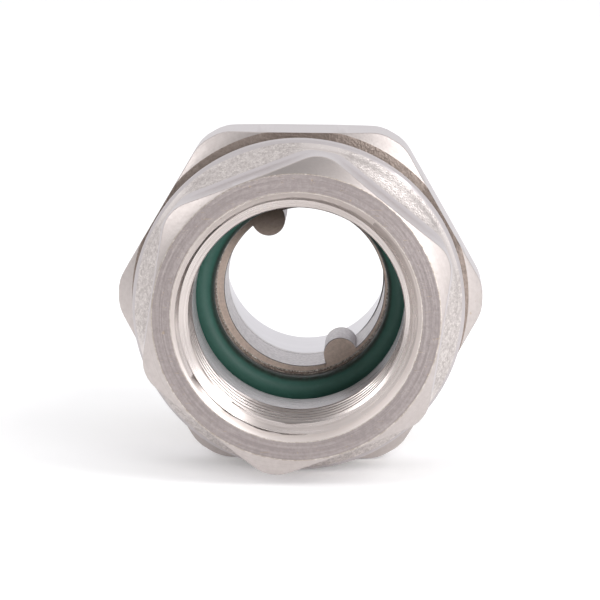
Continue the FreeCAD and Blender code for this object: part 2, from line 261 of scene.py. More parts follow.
def from_flat(turn, first_flat):
    """The angle from the middle of the nearest flat."""
    return (turn - first_flat + SIXTH / 2) % SIXTH - SIXTH / 2


def softly_least(first, second, ease):
    """The lesser of two lengths, eased where they are nearly the same."""
    share = min(max(0.5 + 0.5 * (second - first) / ease, 0.0), 1.0)
    return second + (first - second) * share - ease * share * (1 - share)


print("half way between equal lengths of 1 an ease of 0.4 leaves", softly_least(1, 1, 0.4))

# %% [markdown]
# ## The female end
# The flats of its hexagon end in a fillet and a flare of 45 degrees, and the lathe bevelled the
# corners at 30 degrees. Each place on the flats follows from the angle to the nearest flat, so the
# curved edges between flat, bevel and corner come out exact. Behind the flare stands a collar, and
# the union thread is on the neck. Inside are the pipe thread, the throat, the conical seat of the
# rubber ring and the socket of the tailpiece.

# %% Sizes of the female end
# millimetres: names with a start, end, front, back or depth are depths behind the front face,
# and most of the others are distances from the axis
BODY_FLAT = radians(-8.6)
BODY_HALF, BODY_CORNER, BODY_EASE = 16.2, 18.1, 0.5
BODY_EDGE = acos(BODY_HALF / BODY_CORNER)
LIP_INSIDE, LIP_OUTSIDE, BEVEL_INSIDE, BEVEL_SLOPE = 14.08, 16.02, 16.1, tan(radians(30))
FLARE_START, FILLET = 6.8, 3.0
FLAT_END = FLARE_START - FILLET * tan(radians(22.5))
RISES = (0.04, 0.12, 0.24, 0.4, 0.6, 0.85, 1.1, 1.35, 1.55, 1.7, 1.85, 2.0, 2.15, 2.3, 2.42)
FLARE_RISE = 0.4
COLLAR, COLLAR_BACK, COLLAR_EASE, COLLAR_LINE = 18.9, 12.0, 0.3, 9.38
COLLAR_ROUND = ((9.42, 18.76), (9.62, 18.86), (9.85, COLLAR))
NECK_START, NECK_END, NECK_ROOT, NECK_TIP = 13.6, 26.0, 14.9961, 14.9446
UNION_CREST, UNION_ROOT, UNION_PITCH, UNION_START = 16.6246, 15.1461, 2.309, 14.2
SOCKET, SOCKET_DEPTH, SEAT, SEAT_DEPTH = 14.05, 21.8, 13.369, 17.3
MOUTH_RADIUS, MOUTH_ROOT = 13.9505, 13.26
PIPE_CREST, PIPE_ROOT, PIPE_PITCH, PIPE_END = 12.0589, 13.2205, 1.814, 10.6
THROAT_DEPTH, GROOVE = 11.2, 13.3005
BODY_COLUMNS = hexagon_columns(BODY_FLAT, BODY_EDGE)
PIPE_START = 0.19 + PIPE_PITCH * (pi - BODY_COLUMNS[0]) / tau
print(len(BODY_COLUMNS) - 1, "columns, corners from", round(degrees(BODY_EDGE), 2), "degrees")

# %% [markdown]
# ### Its flats and its flare
# Seen along a flat, the metal rises over it in an arc and then in a straight line. The line of the
# female end asks for the depth at which it has risen so far, and the collar's chamfer cuts the
# flare off. An eased least of two radii joins them without a step.

# %% The flare behind the flats
def flare_place(rise):
    """The depth where the fillet and the flare behind a flat have risen so far over it."""
    arc_rise = FILLET * (1 - cos(radians(45)))
    if rise <= arc_rise:
        return FLAT_END + FILLET * sin(acos(1 - rise / FILLET))
    return FLAT_END + FILLET * sin(radians(45)) + rise - arc_rise


def collar_foot(depth):
    """The corners' radius up to the collar, and there the radius of the collar's chamfer."""
    return -softly_least(-BODY_CORNER, -(depth + COLLAR_LINE), COLLAR_EASE)


def hexagon_skin(side):
    """The corners of the line from the front face's edge to the top of the flare."""
    reach = softly_least(BODY_HALF / cos(side), BODY_CORNER, BODY_EASE)
    skin = [
        (0.0, LIP_OUTSIDE, "edge"),
        (0.0, BEVEL_INSIDE, "bevel", 0.04),
        ((reach - BEVEL_INSIDE) * BEVEL_SLOPE, reach, "flat", 0.09),
        (FLAT_END, reach, "flat"),
    ]
    for rise in RISES:
        depth = flare_place(rise)
        radius = softly_least((BODY_HALF + rise) / cos(side), collar_foot(depth), BODY_EASE)
        skin.append((depth, radius, "flat" if rise < FLARE_RISE else "flare"))
    return skin


print("the flare begins", round(flare_place(FLARE_RISE), 2), "mm behind the face")

# %% [markdown]
# ### Its whole line
# The line starts at the edge of the mouth, runs back over the outside, turns in at the neck's end
# and comes forwards again through the bore. The thread of the mouth ends it, row by row.

# %% The line of the female end
def neck_limit(depth):
    """The bevels at both ends of the union thread."""
    return min(NECK_ROOT + depth - NECK_START, NECK_TIP + NECK_END - depth)


def body_line(number, turn):
    """The places of the female end at one angle."""
    share = (turn - BODY_COLUMNS[0]) / tau
    skin = hexagon_skin(from_flat(turn, BODY_FLAT))
    skin[-1] = (*skin[-1][:2], "rim")
    corners = [(0.0, MOUTH_RADIUS, "edge", 0.06), (0.0, LIP_INSIDE, "face"), *skin]
    corners += [(depth, radius, "rim") for depth, radius in COLLAR_ROUND]
    corners += [
        (COLLAR_BACK, COLLAR, "turned", 0.15),
        (COLLAR_BACK, NECK_ROOT, "turned"),
        *thread(NECK_START, NECK_END, UNION_PITCH, UNION_CREST, UNION_ROOT, UNION_START, share,
                neck_limit),
        (NECK_END, NECK_TIP, "turned"),
        (NECK_END, SOCKET, "turned", 0.1),
        (SOCKET_DEPTH, SOCKET, "turned"),
        (SOCKET_DEPTH, SEAT, "turned", 0.06),
        (SEAT_DEPTH, PIPE_CREST, "throat", 0.05),
        (THROAT_DEPTH, GROOVE, "throat", 0.05),
        (PIPE_END, GROOVE, "thread"),
        *reversed(thread(0, PIPE_END, PIPE_PITCH, PIPE_CREST, MOUTH_ROOT, PIPE_START, share,
                         lambda depth: MOUTH_RADIUS - depth)),
    ]
    return broken(corners)


print(len(body_line(0, BODY_COLUMNS[0])), "places in the line of the female end")

# %% [markdown]
# ## The union nut
# The nut is a shorter hexagon with both ends bevelled at 30 degrees. Its hub runs back as a cone to
# the lip that pulls on the tailpiece's flange. The thread inside keeps the same phase as the
# one it is screwed on, a hair further out, so the two ridges interlock without touching.

# %% The line of the nut
NUT_FLAT = radians(-30)
NUT_HALF, NUT_CORNER, NUT_FACE, NUT_EASE = 19.0, 21.05, 19.39, 0.5
NUT_FRONT, NUT_HEX_END, NUT_END = 16.8, 27.0, 31.6
NUT_MOUTH, NUT_LIP, NUT_LIP_START = 17.0996, 13.5005, 29.5
NUT_THREAD_END, NUT_GROOVE, NUT_GROOVE_END, FLANGE_ROOM = 25.5, 16.8996, 27.3, 15.3961
HUB_FOOT, HUB_TOP = 18.4, 15.8
THREAD_ROOM = 0.08
NUT_COLUMNS = hexagon_columns(NUT_FLAT, acos(NUT_HALF / NUT_CORNER))
TURNED_ON = (NUT_COLUMNS[0] - BODY_COLUMNS[0]) / tau * UNION_PITCH
NUT_START = UNION_START - TURNED_ON + UNION_PITCH / 2


def nut_line(number, turn):
    """The places of the nut at one angle."""
    reach = softly_least(NUT_HALF / cos(from_flat(turn, NUT_FLAT)), NUT_CORNER, NUT_EASE)
    face = min(reach, NUT_FACE)
    bevel = (reach - face) * BEVEL_SLOPE
    share = (turn - NUT_COLUMNS[0]) / tau
    return broken([
        (NUT_FRONT, NUT_MOUTH, "face", 0.07),
        (NUT_FRONT, face, "bevel", 0.05),
        (NUT_FRONT + bevel, reach, "flat", 0.1),
        (NUT_HEX_END - bevel, reach, "bevel", 0.1),
        (NUT_HEX_END, face, "face", 0.05),
        (NUT_HEX_END, HUB_FOOT, "hub"),
        (NUT_END, HUB_TOP, "hub", 0.15),
        (NUT_END, NUT_LIP, "turned", 0.1),
        (NUT_LIP_START, NUT_LIP, "turned", 0.05),
        (NUT_LIP_START, FLANGE_ROOM, "turned"),
        (NUT_GROOVE_END, FLANGE_ROOM, "turned"),
        (NUT_GROOVE_END, NUT_GROOVE, "turned"),
        (NUT_THREAD_END, NUT_GROOVE, "thread"),
        *reversed(thread(NUT_FRONT, NUT_THREAD_END, UNION_PITCH, UNION_ROOT + THREAD_ROOM,
                         UNION_CREST + THREAD_ROOM, NUT_START, share,
                         lambda depth: NUT_MOUTH - depth + NUT_FRONT)),
    ])


print(len(nut_line(0, NUT_COLUMNS[0])), "places in the line of the nut")

# %% [markdown]
# ## The tailpiece
# The far end of the tailpiece is turned and threaded, but the narrow bore behind the rubber ring
# is as the forging die left it: a little off the axis, slightly tapered, with two half-round
# lugs for the key that holds the tailpiece while the nut is tightened. Where the bore
# meets a lug, the line's places are crowded onto the lug's own circle.

# %% Angles round the bore with its key lugs
KEY_OFFSET, KEY_RADIUS, KEY_START, KEY_END, KEY_TAPER = 0.3, 9.42, 25.0, 34.6, tan(radians(0.5))
LUG_RADIUS, LUG_PLACE, LUG_TURN, LUG_END = 1.95, 9.04, radians(118.3), 33.5
LUG_REACH = acos((LUG_PLACE ** 2 + LUG_RADIUS ** 2 - KEY_RADIUS ** 2) / (2 * LUG_PLACE * LUG_RADIUS))
LUG_SPAN = atan2(LUG_RADIUS * sin(LUG_REACH), LUG_PLACE - LUG_RADIUS * cos(LUG_REACH))
LUG_STEPS, ARC_STEPS = 28, 88


def tail_columns():
    """Angles round the tailpiece, and how far over a lug each one is, if it is on a lug."""
    angles, over_lug = [], []
    for lug in range(2):
        middle = LUG_TURN + pi * lug
        for step in range(LUG_STEPS):
            share = 2 * step / LUG_STEPS - 1
            angles.append(middle + LUG_SPAN * share)
            over_lug.append(share * LUG_REACH)
        for step in range(ARC_STEPS):
            angles.append(middle + LUG_SPAN + (pi - 2 * LUG_SPAN) * step / ARC_STEPS)
            over_lug.append(LUG_REACH if step == 0 else None)
    angles.append(angles[0] + tau)
    over_lug.append(over_lug[0])
    return angles, over_lug


TAIL_COLUMNS, OVER_LUG = tail_columns()
print(len(TAIL_COLUMNS) - 1, "columns, a lug spans", round(degrees(2 * LUG_SPAN), 1), "degrees")

# %% [markdown]
# ### A place in the forged bore
# A lug is a half-round ridge along the bore. A place on it is worked out on the lug's own circle
# and held inside the bore, then the whole bore is moved sideways off the axis.

# %% The wall of the forged bore
def key_place(number, depth, finish, with_lugs, ease):
    """A place on the wall of the forged bore or on a lug, eased outwards if it is an edge."""
    turn, over = TAIL_COLUMNS[number], OVER_LUG[number]
    bore = KEY_RADIUS - (depth - KEY_START) * KEY_TAPER
    across, rise = bore * cos(turn), bore * sin(turn)
    if over is not None and with_lugs:
        second_lug = LUG_STEPS < number <= 2 * LUG_STEPS + ARC_STEPS
        middle = LUG_TURN + pi * second_lug
        inner = LUG_PLACE - LUG_RADIUS * cos(over)
        along = LUG_RADIUS * sin(over)
        across = inner * cos(middle) - along * sin(middle)
        rise = inner * sin(middle) + along * cos(middle)
        away = hypot(across, rise)
        across, rise = across * min(1, bore / away), rise * min(1, bore / away)
    across += KEY_OFFSET
    return depth, hypot(across, rise) + ease, finish, atan2(rise, across)


on_lug = key_place(LUG_STEPS // 2, KEY_START, "ledge", True, 0.0)
print("the top of a lug stands", round(on_lug[1], 2), "mm from the axis")

# %% [markdown]
# ### Its whole line
# The line starts at the chipped shoulder round the forged bore, runs out over the cup of the rubber
# ring, the nose, the flange and the male thread, and comes back through the wide bore and the
# forged one.

# %% The line of the tailpiece
BORE, CHIP, CHIP_EDGE = 10.17, 0.17, 0.08
CUP, CUP_DEPTH, NOSE, NOSE_FRONT = 13.33, 23.55, 13.9, 22.3
FLANGE, FLANGE_FRONT, FLANGE_BACK = 14.8961, 27.5, 29.4
SHANK, SHANK_END = 13.3005, 35.4
RELIEF, RELIEF_END, MALE_START, MALE_TIP = 11.9989, 36.9, 38.2, 12.1205
FORGED_EDGE, HAIR = 9.5, 0.01
# each row of the forged bore: its depth, its finish, whether it has the lugs, and its ease
KEY_ROWS = (
    (KEY_END - 0.10, "forged", False, 0.0),
    (LUG_END + HAIR, "forged", False, 0.0),
    (LUG_END, "edge", True, 0.0),
    (LUG_END - 0.14, "forged", True, 0.0),
    (30.0, "forged", True, 0.0),
    (KEY_START + 0.12, "edge", True, 0.0),
    (KEY_START, "ledge", True, 0.06),
)


def male_limit(depth):
    """The bevels at both ends of the male thread."""
    return min(RELIEF + depth - RELIEF_END, MALE_TIP + LENGTH - depth)


def tail_line(number, turn):
    """The places of the tailpiece at one angle."""
    share = (turn - TAIL_COLUMNS[0]) / tau
    turned_places = broken([
        (KEY_START, BORE - CHIP, "chipped"),
        (KEY_START, BORE - CHIP_EDGE, "chipped"),
        (KEY_START - CHIP_EDGE, BORE, "pitted"),
        (CUP_DEPTH, BORE, "nose", 0.05),
        (CUP_DEPTH, CUP, "nose"),
        (NOSE_FRONT, CUP, "nose", 0.05),
        (NOSE_FRONT, NOSE, "nose", 0.05),
        (FLANGE_FRONT, NOSE, "turned"),
        (FLANGE_FRONT, FLANGE, "turned", 0.1),
        (FLANGE_BACK, FLANGE, "turned", 0.1),
        (FLANGE_BACK, SHANK, "turned"),
        (SHANK_END, SHANK, "turned", 0.2),
        (SHANK_END, RELIEF, "turned"),
        *thread(RELIEF_END, LENGTH, PIPE_PITCH, PIPE_ROOT, PIPE_CREST, MALE_START, share,
                male_limit),
        (LENGTH, MALE_TIP, "turned"),
        (LENGTH, BORE, "bore", 0.12),
        (KEY_END + 2 * HAIR, BORE, "turned"),
        (KEY_END + HAIR, FORGED_EDGE, "edge"),
    ])
    return turned_places + [key_place(number, *row) for row in KEY_ROWS]


print(len(tail_line(0, TAIL_COLUMNS[0])), "places in the line of the tailpiece")

# %% [markdown]
# ## Finishes: what each tool left behind
# Nickel plating is thin, so it shows the surface under it. A turning tool leaves fine rings, a
# bead blaster leaves grain, a forging die leaves a pitted skin, and handling leaves nicks. Each of
# these effects is one node group, placed in every material with its own values. The groups
# read places in millimetres from the axis, so the same number means the same size on every piece.

# %% Small helpers for node trees
FLOAT, VECTOR = "NodeSocketFloat", "NodeSocketVector"


def add(tree, kind, inputs=None, **settings):
    """A new node. inputs gives each input, by name or number, a value or a socket to link."""
    made = tree.nodes.new(kind)
    for key, value in settings.items():
        setattr(made, key, value)
    for key, value in (inputs or {}).items():
        if isinstance(value, bpy.types.NodeSocket):
            tree.links.new(value, made.inputs[key])
        else:
            made.inputs[key].default_value = value
    return made


def math(tree, operation, *values, clamp=False):
    """A Math node's result."""
    inputs = dict(enumerate(values))
    return add(tree, "ShaderNodeMath", inputs, operation=operation, use_clamp=clamp).outputs[0]


def noise(tree, place, **inputs):
    """A noise, with the inputs of its node given by name."""
    return add(tree, "ShaderNodeTexNoise", {"Vector": place, **inputs}).outputs["Fac"]


print("helpers:", [helper.__name__ for helper in (add, math, noise)])

# %% [markdown]
# ### Ramps, mixes and groups
# A ramp picks out the part of a noise or of a length that counts, and a mix lays one colour over
# another. A group gets its sockets from its interface, so that they can be named.

# %% Helpers for ramps, mixes and groups
def ramp(tree, value, start, end, top=1.0, shape="LINEAR"):
    """0 up to the start, and the top value from the end on."""
    return add(tree, "ShaderNodeMapRange", {
        "Value": value, "From Min": start, "From Max": end, "To Max": top},
        interpolation_type=shape).outputs[0]


def mix(tree, share, first, second):
    """The first colour where the share is 0, and the second where it is 1."""
    return add(tree, "ShaderNodeMix", {"Factor": share, 6: first, 7: second},
               data_type="RGBA").outputs[2]


def new_group(name, inputs, outputs):
    """An empty shader group with named inputs, (name, type, value), and the names of outputs."""
    tree = bpy.data.node_groups.new(name, "ShaderNodeTree")
    for label, kind, value in inputs:
        socket = tree.interface.new_socket(label, in_out="INPUT", socket_type=kind)
        if value is not None:
            socket.default_value = value
    for label in outputs:
        tree.interface.new_socket(label, in_out="OUTPUT", socket_type=FLOAT)
    print("group", name, "puts out", outputs)
    return tree, tree.nodes.new("NodeGroupInput").outputs, tree.nodes.new("NodeGroupOutput").inputs


print("helpers:", [helper.__name__ for helper in (ramp, mix, new_group)])

# %% [markdown]
# ### Rings left by the turning tool
# Tool marks run round the axis. The distance from the axis and the depth change quickly in this
# noise and the place round the axis slowly, so its lumps are drawn out into rings, a
# little broken as on real work. An image of rings would do for one flat face, but this
# also follows cones and cylinders.

# %% Group: turned rings
NEAR_AXIS, DEPTH_COUNTS = 0.1, 0.83
RINGS, given, made = new_group(
    "turned_rings",
    [("Place", VECTOR, None), ("Scale", FLOAT, 8.0), ("Drift", FLOAT, 0.6)],
    ["Rings", "Radius", "Depth"])
part = add(RINGS, "ShaderNodeSeparateXYZ", {0: given["Place"]}).outputs
radius = math(RINGS, "SQRT", math(RINGS, "ADD", math(RINGS, "MULTIPLY", part["X"], part["X"]),
                                  math(RINGS, "MULTIPLY", part["Z"], part["Z"])))
away = math(RINGS, "MAXIMUM", radius, NEAR_AXIS)
across = math(RINGS, "DIVIDE", part["X"], away)
rise = math(RINGS, "DIVIDE", part["Z"], away)
along = math(RINGS, "ADD", radius, math(RINGS, "MULTIPLY", part["Y"], DEPTH_COUNTS))
seen = add(RINGS, "ShaderNodeCombineXYZ", {
    "X": math(RINGS, "MULTIPLY", along, given["Scale"]),
    "Y": math(RINGS, "MULTIPLY", across, given["Drift"]),
    "Z": math(RINGS, "MULTIPLY", rise, given["Drift"])}).outputs[0]
marks = noise(RINGS, seen, Scale=1.0, Detail=2.0, Roughness=0.6)
RINGS.links.new(ramp(RINGS, marks, 0.32, 0.68), made["Rings"])
RINGS.links.new(radius, made["Radius"])
RINGS.links.new(part["Y"], made["Depth"])
print(len(RINGS.nodes), "nodes")

# %% [markdown]
# ### Grain left by bead blasting and by the forging die, with painted glints
# Both are small dents side by side. Smooth Voronoi cells give the dents, and a noise about twice
# as coarse makes some patches duller than others. A few cells get painted glints: near-white colour in
# place of facets catching the light.

# %% Group: blasted grain and painted glints
COARSER, FINER = 0.45, 1.3
GRAIN_AND_GLINTS, given, made = new_group(
    "blasted_grain_and_glints",
    [("Place", VECTOR, None), ("Scale", FLOAT, 5.0)],
    ["Dents", "Patches", "Painted glints"])
dents = add(GRAIN_AND_GLINTS, "ShaderNodeTexVoronoi", {
    "Vector": given["Place"], "Scale": given["Scale"], "Smoothness": 0.6}, feature="SMOOTH_F1")
patches = noise(GRAIN_AND_GLINTS, given["Place"], Scale=math(GRAIN_AND_GLINTS, "MULTIPLY", given["Scale"], COARSER),
                Detail=3.0, Roughness=0.7)
# Cells of a finer Voronoi, a few of which are picked out for painted glints.
cells = add(GRAIN_AND_GLINTS, "ShaderNodeTexVoronoi", {
    "Vector": given["Place"], "Scale": math(GRAIN_AND_GLINTS, "MULTIPLY", given["Scale"], FINER)})
shade = add(GRAIN_AND_GLINTS, "ShaderNodeSeparateColor", {0: cells.outputs["Color"]}).outputs[0]
GRAIN_AND_GLINTS.links.new(dents.outputs["Distance"], made["Dents"])
GRAIN_AND_GLINTS.links.new(ramp(GRAIN_AND_GLINTS, patches, 0.35, 0.65), made["Patches"])
GRAIN_AND_GLINTS.links.new(ramp(GRAIN_AND_GLINTS, shade, 0.86, 0.95), made["Painted glints"])
print(len(GRAIN_AND_GLINTS.nodes), "nodes")

# %% [markdown]
# ### Nicks and pits from handling
# Fittings are tipped into boxes together, so open faces carry small nicks. A noise whose highest
# peaks alone count gives sparse, uneven spots, and a second one stretches some into scratches.

# %% Group: nicks
LONGER, SCRATCH_COUNTS = 1.7, 0.97
FEWEST_FROM, AMOUNT_LOWERS, SOFT_EDGE = 0.80, 0.2, 0.05
NICKS, given, made = new_group(
    "nicks", [("Place", VECTOR, None), ("Scale", FLOAT, 1.4), ("Amount", FLOAT, 0.5)], ["Nicks"])
spots = noise(NICKS, given["Place"], Scale=given["Scale"], Detail=4.0, Roughness=0.62)
pulled = add(NICKS, "ShaderNodeMapping", {"Vector": given["Place"], "Rotation": (0.3, 0.5, 0.9),
                                          "Scale": (0.35, 1.0, 2.6)}).outputs[0]
scratches = noise(NICKS, pulled, Scale=math(NICKS, "MULTIPLY", given["Scale"], LONGER), Detail=3.0)
both = math(NICKS, "MAXIMUM", spots, math(NICKS, "MULTIPLY", scratches, SCRATCH_COUNTS))
edge = math(NICKS, "SUBTRACT", FEWEST_FROM, math(NICKS, "MULTIPLY", given["Amount"], AMOUNT_LOWERS))
NICKS.links.new(ramp(NICKS, both, edge, math(NICKS, "ADD", edge, SOFT_EDGE)), made["Nicks"])
print(len(NICKS.nodes), "nodes")

# %% [markdown]
# ## Where a mark is
# The marks are as fine as the tool made them, so they need places in millimetres. Object
# coordinates stay with the piece when it moves, and a Mapping node scales them. The blasted flare
# is smooth round the turned corners, so its grain is held back there by the angle to the flat.

# %% Places inside a material
CENTRE = (0.0, LENGTH * MM / 2, -AXIS_HEIGHT * MM)
GRAIN_ENDS, GRAIN_FULL = radians(26), radians(19)


def in_millimetres(tree):
    """Object coordinates in millimetres, from the axis and from the front face."""
    place = add(tree, "ShaderNodeTexCoord").outputs["Object"]
    moved = add(tree, "ShaderNodeVectorMath", {0: place, 1: CENTRE}, operation="ADD").outputs[0]
    return add(tree, "ShaderNodeMapping", {"Vector": moved, "Scale": (1000, 1000, 1000)}).outputs[0]


def off_corners(tree, place):
    """1 on the flats of the female end and 0 round its turned corners."""
    part = add(tree, "ShaderNodeSeparateXYZ", {0: place}).outputs
    turn = math(tree, "ARCTAN2", part["Z"], part["X"])
    side = math(tree, "WRAP", math(tree, "SUBTRACT", turn, BODY_FLAT), SIXTH / 2, -SIXTH / 2)
    return ramp(tree, math(tree, "ABSOLUTE", side), GRAIN_ENDS, GRAIN_FULL, shape="SMOOTHSTEP")


print("places are counted from", CENTRE)

# %% [markdown]
# ## Nickel-plated brass
# One function lays the groups over each other. The tone runs between a bright and a dull
# colour, nicks let a little of the yellow brass through, and the same values drive the roughness and
# a fine bump, so that a dull patch is also a rough one. On the ledge, painted shade darkens the
# upper part, where less light reaches it.

# %% The colour of a finish
# The first colour is a painted glint: near white, laid over a few grain cells in place of facets
# catching the light.
GLINT_COLOUR, BRASS, TOP_SHADE_COLOUR = (0.86, 0.82, 0.77, 1), (0.42, 0.33, 0.24, 1), (0.05, 0.036, 0.028, 1)
# The last colour above is painted shade. It starts and is full at these heights above the axis, in
# millimetres, so the upper part is darker where less light reaches it.
TOP_SHADE_STARTS, TOP_SHADE_FULL = 2.0, 9.5
BRASS_SHOWS = 0.55


def plated_colour(tree, place, ends, tone, painted_glint, nick, painted_top_shade):
    """The bright and the dull end mixed by tone, then painted glints, nicks and painted shade on the
    upper part over them.
    """
    bright, dull = ends
    colour = mix(tree, tone, (*bright, 1), (*dull, 1))
    colour = mix(tree, painted_glint, colour, GLINT_COLOUR)
    colour = mix(tree, math(tree, "MULTIPLY", nick, BRASS_SHOWS), colour, BRASS)
    # Painted shade: the upper part is darkened, where less light falls.
    if painted_top_shade:
        height = add(tree, "ShaderNodeSeparateXYZ", {0: place}).outputs["Z"]
        top_shade_mask = ramp(tree, height, TOP_SHADE_STARTS, TOP_SHADE_FULL, top=painted_top_shade, shape="SMOOTHSTEP")
        colour = mix(tree, top_shade_mask, colour, TOP_SHADE_COLOUR)
    return colour


print("a nick shows", BRASS_SHOWS, "of the brass")

# %% [markdown]
# ### The whole finish
# rings, grain, the painted glints, nicks and the painted shade on the upper part say how strong a mark
# is, the scales how fine, drift how broken the rings are, and relief how deep all of it goes, in
# millimetres.

# %% A finish of the plated metal
CLOUD_SCALE, CLOUD_COUNTS = 0.18, 0.35
DULL_ROUGHER = 0.12
RING_HEIGHT, NICK_HEIGHT = 0.5, -0.6


def plated(name, bright, dull, rough, rings=0.0, ring_scale=8.0, drift=0.6, grain=0.0,
           grain_scale=5.0, painted_glints=0.0, nicks=0.3, relief=0.02, on_flats=False, painted_top_shade=0.0):
    """A material of nickel-plated brass, with the marks that one tool left on it, painted glints where
    asked and painted shade on its upper part where asked.
    """
    material = bpy.data.materials.new(name)
    material.use_nodes = True
    tree = material.node_tree
    place = in_millimetres(tree)
    turned = add(tree, "ShaderNodeGroup", {"Place": place, "Scale": ring_scale, "Drift": drift},
                 node_tree=RINGS).outputs
    blasted = add(tree, "ShaderNodeGroup", {"Place": place, "Scale": grain_scale},
                  node_tree=GRAIN_AND_GLINTS).outputs
    nick = add(tree, "ShaderNodeGroup", {"Place": place, "Amount": nicks}, node_tree=NICKS).outputs[0]
    amount = math(tree, "MULTIPLY", off_corners(tree, place), grain) if on_flats else grain
    cloud = noise(tree, place, Scale=CLOUD_SCALE, Detail=3.0)
    tone = math(tree, "MULTIPLY_ADD", turned["Rings"], rings,
                math(tree, "MULTIPLY_ADD", blasted["Patches"], amount,
                     math(tree, "MULTIPLY", cloud, CLOUD_COUNTS)), clamp=True)
    height = math(tree, "MULTIPLY_ADD", turned["Rings"], rings * RING_HEIGHT,
                  math(tree, "MULTIPLY_ADD", blasted["Dents"], amount,
                       math(tree, "MULTIPLY", nick, NICK_HEIGHT)))
    bump = add(tree, "ShaderNodeBump", {"Strength": 1.0, "Distance": relief * MM, "Height": height})
    # Painted glints: a few grain cells are brightened in the colour, in place of light catching them.
    painted_glint = math(tree, "MULTIPLY", blasted["Painted glints"], painted_glints)
    shader = tree.nodes["Principled BSDF"].inputs
    shader["Metallic"].default_value = 1.0
    tree.links.new(plated_colour(tree, place, (bright, dull), tone, painted_glint, nick, painted_top_shade),
                   shader["Base Color"])
    tree.links.new(math(tree, "MULTIPLY_ADD", tone, DULL_ROUGHER, rough), shader["Roughness"])
    tree.links.new(bump.outputs[0], shader["Normal"])
    return material


print("the dull end is rougher by", DULL_ROUGHER)

# %% [markdown]
# ### Outside: faces, flats and the blasted flare
# The front face shows the coarse rings of the facing tool and many nicks. The bevels, the flats
# and the collar's rim are smoother. The flare behind the flats and the nut's hub are bead-blasted,
# and the nut's front is painted darker and browner, as shade where it lies behind the collar.

# %% Finishes of the outside
faced = plated("plated_face", (0.455, 0.40, 0.392), (0.32, 0.281, 0.275), 0.34, rings=0.7,
               ring_scale=4.0, drift=0.9, grain=0.5, grain_scale=3.4, nicks=0.8, relief=0.035)
edged = plated("worn_edge", (0.68, 0.625, 0.59), (0.42, 0.36, 0.31), 0.32, grain=1.0,
               grain_scale=3.4, painted_glints=0.3, nicks=0.5, relief=0.03)
bevelled = plated("plated_bevel", (0.60, 0.55, 0.532), (0.46, 0.412, 0.395), 0.34, rings=0.2,
                  ring_scale=7.0, grain=0.3, grain_scale=3.8, nicks=0.5, relief=0.018)
milled = plated("plated_flat", (0.62, 0.582, 0.588), (0.55, 0.512, 0.518), 0.36, grain=0.12,
                grain_scale=6.0, nicks=0.15, relief=0.010)
rimmed = plated("plated_rim", (0.58, 0.543, 0.548), (0.51, 0.474, 0.478), 0.44, rings=0.3,
                ring_scale=6.0, nicks=0.2, relief=0.010)
flared = plated("blasted_flare", (0.72, 0.67, 0.65), (0.49, 0.448, 0.432), 0.40, grain=0.9,
                grain_scale=5.2, painted_glints=0.45, nicks=0.2, relief=0.05, on_flats=True)
hubbed = plated("blasted_hub", (0.62, 0.57, 0.545), (0.45, 0.41, 0.385), 0.42, rings=0.1,
                grain=0.7, painted_glints=0.3, relief=0.05)
# The nut's front is painted shade: darker and browner, where it lies in the shadow of the female end's
# collar.
shaded_nut_front = plated("nut_front_painted_shade", (0.40, 0.333, 0.298), (0.25, 0.205, 0.18), 0.42, rings=0.2,
              ring_scale=5.0, grain=0.6, grain_scale=4.5, nicks=0.4, relief=0.05)
print([finish.name for finish in (faced, edged, bevelled, milled, rimmed, flared, hubbed, shaded_nut_front)])

# %% [markdown]
# ### Turned places and threads
# A sharp tool leaves these places bright and smooth, with fine rings. Only the countersink of the
# mouth is duller and paler.

# %% Finishes of the turned places
turned = plated("plated_turned", (0.62, 0.565, 0.55), (0.44, 0.395, 0.375), 0.26, rings=0.7,
                ring_scale=9.0)
cut = plated("plated_thread", (0.75, 0.69, 0.665), (0.51, 0.455, 0.43), 0.22, rings=0.7,
             ring_scale=10.0, drift=0.9, nicks=0.35)
countersunk = plated("countersunk_mouth", (0.87, 0.80, 0.77), (0.67, 0.60, 0.565), 0.42,
                     rings=0.8, ring_scale=6.0, drift=0.7, nicks=0.4, relief=0.03)
throated = plated("plated_throat", (0.66, 0.63, 0.64), (0.56, 0.53, 0.535), 0.24, rings=0.6,
                  ring_scale=10.0, nicks=0.1, relief=0.010)
bored = plated("plated_bore", (0.73, 0.71, 0.74), (0.66, 0.64, 0.67), 0.26, rings=0.4,
               ring_scale=6.0, nicks=0.1, relief=0.008)
print([finish.name for finish in (turned, cut, countersunk, throated, bored)])

# %% [markdown]
# ### As stamped: the ledge and the bore behind the ring
# The die leaves a rough skin. The shoulder round the bore is chipped bright in places and pitted
# dark in others, which rings the bore with a broken line, and both edges of the forged bore are
# dark.

# %% Finishes of the stamped places
# The ledge gets painted shade on its upper part, where less light falls on it.
ledged = plated("stamped_ledge", (0.86, 0.71, 0.62), (0.60, 0.49, 0.425), 0.46, rings=0.25,
                ring_scale=5.0, grain=0.4, grain_scale=7.0, nicks=0.2, painted_top_shade=0.97)
chipped = plated("chipped_shoulder", (0.96, 0.92, 0.88), (0.28, 0.23, 0.20), 0.30, grain=1.0,
                 grain_scale=8.0, painted_glints=0.9, nicks=0.2, relief=0.05)
pitted = plated("pitted_shoulder", (0.58, 0.49, 0.43), (0.14, 0.115, 0.10), 0.36, grain=1.2,
                grain_scale=6.0, painted_glints=0.7, relief=0.06)
forged = plated("forged_bore", (0.82, 0.785, 0.795), (0.62, 0.59, 0.595), 0.40, grain=0.9,
                painted_glints=0.3, relief=0.05)
lined = plated("bore_edge", (0.24, 0.21, 0.20), (0.08, 0.065, 0.06), 0.45, grain=0.8,
               grain_scale=4.0, nicks=0.2)
print([finish.name for finish in (ledged, chipped, pitted, forged, lined)])

